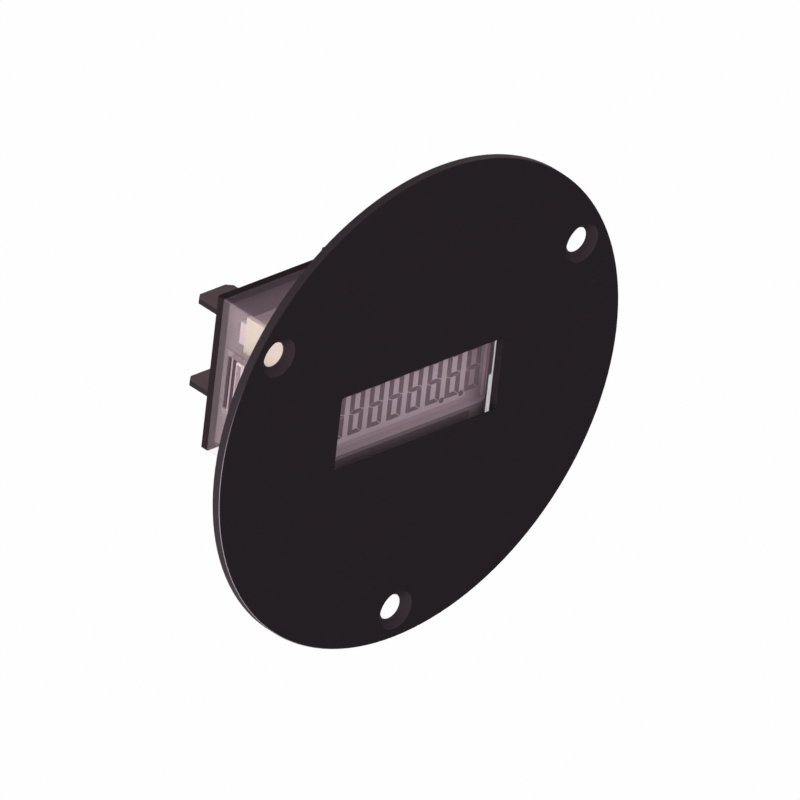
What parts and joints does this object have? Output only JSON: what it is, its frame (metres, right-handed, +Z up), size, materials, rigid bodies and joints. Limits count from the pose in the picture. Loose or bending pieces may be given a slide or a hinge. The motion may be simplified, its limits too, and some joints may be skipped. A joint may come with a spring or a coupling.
{
  "type": "hour meter",
  "caption": "Panel hour meter: round flange plate with countersunk screw holes, window onto a recessed segment display, clear case behind and blade terminals at the rear.",
  "frame": {"origin": "centre of the flange plate's rear face, on the plane of the panel", "axes": "+X to the right seen from the front, +Y back through the panel, +Z up"},
  "size_m": [0.072, 0.0295, 0.072],
  "materials": {
    "flange_black": "fine matte moulded",
    "case_clear": "clear moulded",
    "cover_black": "satin moulded",
    "blade_metal": "dark tin plate",
    "carrier_cream": "satin moulded",
    "grommet_white": "soft matte",
    "polariser_film": "anti-glare film",
    "display_glass": "clear",
    "segment_dark": "dark liquid crystal",
    "seal_grey": "cured seal",
    "reflector_film": "silvered film",
    "contact_rubber": "layered rubber",
    "tray_grey": "satin moulded",
    "board_mask": "solder mask",
    "chip_black": "moulded epoxy",
    "can_metal": "drawn can",
    "capacitor_sleeve": "shrunk sleeve",
    "suppressor_lacquer": "dipped lacquer",
    "resistor_dark": "overglaze",
    "ceramic_tan": "bare ceramic"
  },
  "bodies": {
    "root": {"flange_plate": "flange_black", "case_body": "case_clear", "rear_cover": "cover_black", "terminal_upper_left": "blade_metal", "terminal_upper_right": "blade_metal", "terminal_lower_left": "blade_metal", "terminal_lower_right": "blade_metal", "carrier_upper_left": "carrier_cream", "carrier_upper_right": "carrier_cream", "carrier_lower_left": "carrier_cream", "carrier_lower_right": "carrier_cream", "grommet_upper_left": "grommet_white", "grommet_upper_right": "grommet_white", "grommet_lower_left": "grommet_white", "grommet_lower_right": "grommet_white", "front_polariser": "polariser_film", "front_glass": "display_glass", "lcd_segments": "segment_dark", "cell_seal": "seal_grey", "rear_glass": "display_glass", "reflector": "reflector_film", "contact_strip_upper": "contact_rubber", "contact_strip_lower": "contact_rubber", "display_tray": "tray_grey", "circuit_board": "board_mask", "processor": "chip_black", "memory_chip": "chip_black", "bridge_rectifier": "chip_black", "quartz_crystal": "can_metal", "smoothing_capacitor": "capacitor_sleeve", "surge_suppressor": "suppressor_lacquer", "chip_resistors": "resistor_dark", "chip_capacitors": "ceramic_tan"}
  },
  "joints": []
}
